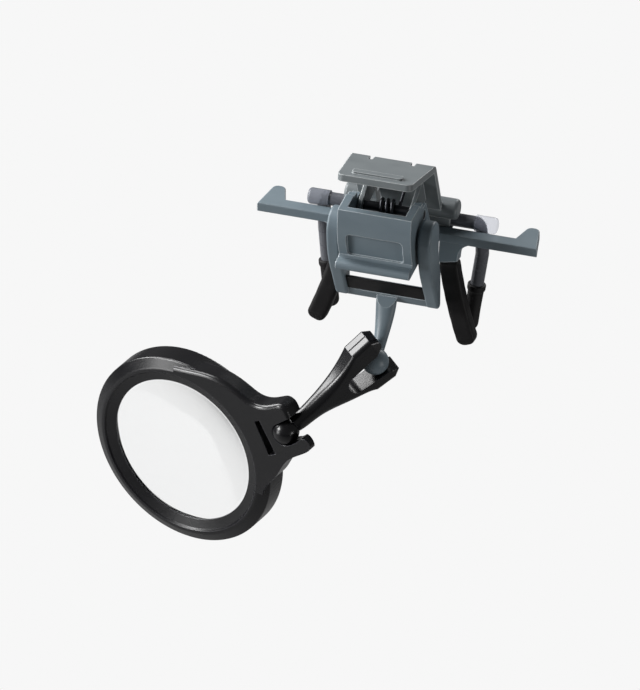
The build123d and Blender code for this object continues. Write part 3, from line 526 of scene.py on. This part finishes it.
# centre(d) on an arc of radius arc / splay; width and thickness close as circles over the last stretch
def bootRings(setup, side):
    up = np.array((0, math.sin(setup["lean"]), math.cos(setup["lean"])))
    front = np.array((0, -math.cos(setup["lean"]), math.sin(setup["lean"])))
    across = np.array((1.0, 0, 0))
    halfWidth = setup["halfWidth"]
    halfThickness = setup["halfThickness"]
    arc = setup["length"] - halfWidth
    first, last = setup["splay"]
    radius = arc / (last - first)
    share = np.linspace(0, 1, setup["rings"])
    distance = setup["length"] * np.sin(share * np.pi / 2) ** setup["crowding"]
    onArc = np.minimum(distance, arc)
    beyond = distance - onArc
    angle = first + onArc / radius
    x = setup["centreX"] + radius * (math.cos(first) - np.cos(angle)) + beyond * np.sin(angle)
    y = -setup["bareLength"] + radius * (math.sin(first) - np.sin(angle)) - beyond * np.cos(angle)
    width = np.sqrt(np.maximum(halfWidth**2 - beyond**2, setup["leastHalf"] ** 2))
    tipStart = setup["length"] - halfThickness * setup["tipShare"]
    past = np.clip((distance - tipStart) / (setup["length"] - tipStart), 0, 1)
    thickness = halfThickness * np.sqrt(np.maximum(1 - past**2, setup["leastShare"] ** 2))
    rimward = np.clip(1 - distance / setup["rim"], 0, 1)
    easing = setup["rim"] * (1 - np.sqrt(1 - rimward**2))
    wave = setup["swell"] * (0.5 + 0.5 * np.cos(distance / setup["swellLength"] * 2 * np.pi))
    width = np.maximum(width - easing - wave, setup["leastHalf"])
    thickness = np.maximum(thickness - easing - wave, setup["leastHalf"])
    outward = np.stack((np.cos(angle), np.sin(angle)), axis=-1)
    rings = []
    for place in range(setup["rings"]):
        centre = setup["plane"] + x[place] * across + y[place] * up
        wide = outward[place, 0] * across + outward[place, 1] * up
        rings.append(
            roundedRing(
                centre, wide, front, width[place], thickness[place], setup["power"], setup["around"],
            )
        )
    mouth = setup["plane"] + x[0] * across + y[0] * up
    wide = outward[0, 0] * across + outward[0, 1] * up
    inner = roundedRing(
        mouth, wide, front, width[0] - setup["wall"] / 2, thickness[0] - setup["wall"] / 2,
        setup["power"], setup["around"],
    )
    grid = np.stack([inner] + rings)
    grid[..., 0] *= side
    return grid if side > 0 else grid[:, ::-1]


for side, word in ((1, "right"), (-1, "left")):
    tubePiece(
        f"frontBoot_{word}", bootRings(frontBoot, side), rubberFinish, "front_clip", "black_rubber",
        f"front_sleeve_{word}",
    )
print("front boots made")


# Rear boots: round rubber boots with a rolled lip at the mouth

rearBoot = {
    "tip": np.array((14.2, 1.1, -21.5)) * mm,
    "knee": np.array((16.2, 3.0, -4.5)) * mm,
    "radius": 1.6 * mm,
    "length": 10.4 * mm,
    "lipRadius": 1.85 * mm,
    "lipLength": 0.9 * mm,
    "boreRadius": 1.37 * mm,
    "lipFlatness": 0.55,
    "neckShare": 0.9,
    "firstTurn": 0.03,  # leaves a small hole at the tip for its end face
    "sideStart": 1.06,  # times the radius, where the straight side begins
    "swell": 0.04 * mm,
    "tipRings": 22,
    "sideRings": 24,
    "neckRings": 10,
    "lipRings": 12,
    "around": 64,
}


# radius = round tip, straight side with a slight swell, then a lip that rolls back into the mouth
def rearBootProfile(setup):
    turn = np.linspace(setup["firstTurn"], np.pi / 2, setup["tipRings"])
    tip = np.stack((setup["radius"] * np.sin(turn), setup["radius"] * (1 - np.cos(turn))), axis=-1)
    lipStart = setup["length"] - 2 * setup["lipLength"]
    height = np.linspace(setup["radius"] * setup["sideStart"], lipStart, setup["sideRings"])
    onward = (height - height[0]) / (lipStart - height[0])
    ripple = setup["swell"] * (0.5 - 0.5 * np.cos(onward * 2 * np.pi))
    body = np.stack((setup["radius"] - ripple, height), axis=-1)
    rise = np.linspace(0, 1, setup["neckRings"])[1:]
    flare = setup["lipRadius"] - setup["radius"]
    neckRadius = setup["radius"] + flare * (0.5 - 0.5 * np.cos(rise * np.pi))
    neckHeight = lipStart + rise * setup["lipLength"] * setup["neckShare"]
    neck = np.stack((neckRadius, neckHeight), axis=-1)
    over = np.linspace(0, np.pi / 2, setup["lipRings"])
    roll = setup["lipRadius"] - setup["boreRadius"]
    rollHeight = roll * setup["lipFlatness"]
    lipHeight = setup["length"] - rollHeight + rollHeight * np.sin(over)
    lip = np.stack((setup["boreRadius"] + roll * np.cos(over), lipHeight), axis=-1)
    return np.concatenate((tip, body, neck, lip))


for side, word in ((1, "right"), (-1, "left")):
    mirror = np.array((side, 1, 1))
    axis = (rearBoot["knee"] - rearBoot["tip"]) * mirror
    axis /= np.linalg.norm(axis)
    aside = np.cross(axis, (1.0, 0, 0))
    aside /= np.linalg.norm(aside)
    rings = turnedRings(rearBoot["tip"] * mirror, axis, aside, rearBootProfile(rearBoot), rearBoot["around"])
    tubePiece(
        f"rearBoot_{word}", rings, rubberFinish, "rear_clip", "black_rubber", f"rear_sleeve_{word}",
    )
print("rear boots made")


# Lens: two true spherical faces and a ground edge

lensSetup = {
    "radius": 16.5 * mm,
    "land": 1.1 * mm,
    "edge": 1.3 * mm,
    "bulge": 1.25 * mm,
    "bevel": 0.12 * mm,
    "innermost": 0.02 * mm,
    "faceRings": 48,
    "seat": 1.2 * mm,
    "yaw": math.radians(16.0),
    "lugAngle": math.radians(28.4),
    "lugReach": 27.35 * mm,
    "ballDepth": 1.75 * mm,
    "armLength": 22.3 * mm,
    "armAzimuth": math.radians(40.6),
    "armElevation": math.radians(30.7),
    "upperBall": np.array((0, -16.2, -20.9)) * mm,
    "around": 192,
}


# sag(r) = sqrt(R^2 - r^2) - (R - bulge) on each face, with R from the land's radius and the bulge
def lensProfile(setup):
    land = setup["radius"] - setup["land"]
    dome = (land**2 + setup["bulge"] ** 2) / (2 * setup["bulge"])
    r = np.linspace(setup["innermost"], land, setup["faceRings"])
    sag = np.sqrt(dome**2 - r**2) - (dome - setup["bulge"]) + setup["edge"] / 2
    front = np.stack((r, sag), axis=-1)
    bevel = setup["bevel"]
    rim = np.array((
        (setup["radius"] - bevel, setup["edge"] / 2),
        (setup["radius"], setup["edge"] / 2 - bevel),
        (setup["radius"], bevel - setup["edge"] / 2),
        (setup["radius"] - bevel, -setup["edge"] / 2),
    ))
    back = np.stack((r[::-1], -sag[::-1]), axis=-1)
    return np.concatenate((front, rim, back))


# ring centre = lower ball + depth * normal - reach * lug's way; the lens lies behind its seat there
def lensPiece(setup):
    az = setup["armAzimuth"]
    el = setup["armElevation"]
    armWay = np.array((math.cos(el) * math.cos(az), math.cos(el) * math.sin(az), math.sin(el)))
    lowerBall = setup["upperBall"] - armWay * setup["armLength"]
    normal = np.array((-math.sin(setup["yaw"]), -math.cos(setup["yaw"]), 0))
    across = np.array((math.cos(setup["yaw"]), -math.sin(setup["yaw"]), 0))
    lugWay = across * math.cos(setup["lugAngle"]) + np.array((0, 0, math.sin(setup["lugAngle"])))
    ringCentre = lowerBall + normal * setup["ballDepth"] - lugWay * setup["lugReach"]
    middle = ringCentre - normal * (setup["seat"] + setup["edge"] / 2)
    rings = turnedRings(middle, normal, across, lensProfile(setup), setup["around"])
    tubePiece("loupeLens", rings[::-1], lensFinish, "lens_unit", "clear_lens", "lens")


lensPiece(lensSetup)
print("lens made")


# Spring: round wire, straight, coiled round the pin, and straight again

springSetup = {
    "centre": np.array((0, -8.0, 9.9)) * mm,
    "radius": 1.7 * mm,
    "wire": 0.35 * mm,
    "turns": 3,
    "halfLength": 1.75 * mm,
    "frontAngle": math.radians(252.0),
    "rearAngle": math.radians(320.0),
    "frontLength": 6.6 * mm,
    "rearLength": 5.1 * mm,
    "around": 20,
    "coilRings": 260,
    "endRings": 8,
}


# coil = centre + R (cos, sin) of its angle + pitch along X; the ends run on along the coil's tangents
def springRings(setup):
    sweep = 2 * np.pi * setup["turns"] + setup["rearAngle"] - setup["frontAngle"]
    turn = np.linspace(0, sweep, setup["coilRings"])
    angle = setup["frontAngle"] + turn
    radial = np.stack((np.zeros_like(angle), np.cos(angle), np.sin(angle)), axis=-1)
    rise = 2 * setup["halfLength"] / sweep
    sideways = -setup["radius"] * np.sin(angle)
    upward = setup["radius"] * np.cos(angle)
    along = np.stack((np.full_like(angle, rise), sideways, upward), axis=-1)
    along /= np.linalg.norm(along, axis=1)[:, None]
    coil = setup["centre"] + setup["radius"] * radial
    coil[:, 0] += turn * rise - setup["halfLength"]
    ends = setup["endRings"]
    lead = np.linspace(setup["frontLength"], 0, ends + 1)[:-1, None]
    trail = np.linspace(0, setup["rearLength"], ends + 1)[1:, None]
    path = np.concatenate((coil[0] - lead * along[0], coil, coil[-1] + trail * along[-1]))
    out = np.concatenate((np.tile(radial[0], (ends, 1)), radial, np.tile(radial[-1], (ends, 1))))
    way = np.concatenate((np.tile(along[0], (ends, 1)), along, np.tile(along[-1], (ends, 1))))
    side = np.cross(way, out)
    side /= np.linalg.norm(side, axis=1)[:, None]
    spin = np.arange(setup["around"])[None, :, None] / setup["around"] * 2 * np.pi
    ring = np.cos(spin) * out[:, None] + np.sin(spin) * side[:, None]
    return path[:, None] + setup["wire"] * ring


# the spring's dark finish is partly a painted shade for the inside of the lever
springTube = springRings(springSetup)
spring = tubePiece("pinSpring", springTube, steelFinish, None, "spring_steel", "torsion_spring")
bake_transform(spring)
print("spring made")


# Stop strip: a black rubber strip with rounded long edges, let in between the bracket's plates; its black
# also stands in for the shade under the bracket's lip, a painted shade

stripSetup = {
    "halfLength": 7.98 * mm,
    "pivot": (-11.3 * mm, 6.8 * mm),
    "headRadius": 3.5 * mm,
    "bowRadius": 22.0 * mm,
    "bow": math.radians(26.0),
    "start": 4.0 * mm,
    "setback": 0.6 * mm,
    "height": 4.28 * mm,
    "thickness": 0.48 * mm,
    "easeRings": 6,
    "easeShare": 0.01,
    "easeInset": 0.08 * mm,
    "power": 5.0,
    "around": 48,
}


# a rounded section swept straight across, eased in at both ends
def stripRings(setup):
    down = np.array((0, math.sin(setup["bow"]), -math.cos(setup["bow"])))
    inward = np.array((0, math.cos(setup["bow"]), math.sin(setup["bow"])))
    frontY = setup["pivot"][0] - setup["headRadius"] + setup["bowRadius"] * (1 - math.cos(setup["bow"]))
    frontZ = setup["pivot"][1] - setup["bowRadius"] * math.sin(setup["bow"])
    top = np.array((0, frontY, frontZ)) + inward * setup["setback"] + down * setup["start"]
    middle = top + down * setup["height"] / 2 + inward * setup["thickness"] / 2
    step = np.linspace(0, 1, setup["easeRings"])
    ease = setup["easeShare"] * step**2
    ends = np.concatenate((ease - 1, (1 - ease)[::-1]))
    inset = np.concatenate((1 - step, (1 - step)[::-1])) * setup["easeInset"]
    rings = []
    for share, less in zip(ends, inset):
        centre = middle + np.array((share * setup["halfLength"], 0, 0))
        rings.append(
            roundedRing(
                centre, down, inward, setup["height"] / 2 - less, setup["thickness"] / 2 - less,
                setup["power"], setup["around"],
            )
        )
    return np.stack(rings)


# the strip's black is partly a painted shade under the bracket's lip
stripTube = stripRings(stripSetup)
tubePiece("stopStripAndShade", stripTube, rubberFinish, "swing_bracket", "black_strip", "bracket_stop_strip")
print("stop strip made")
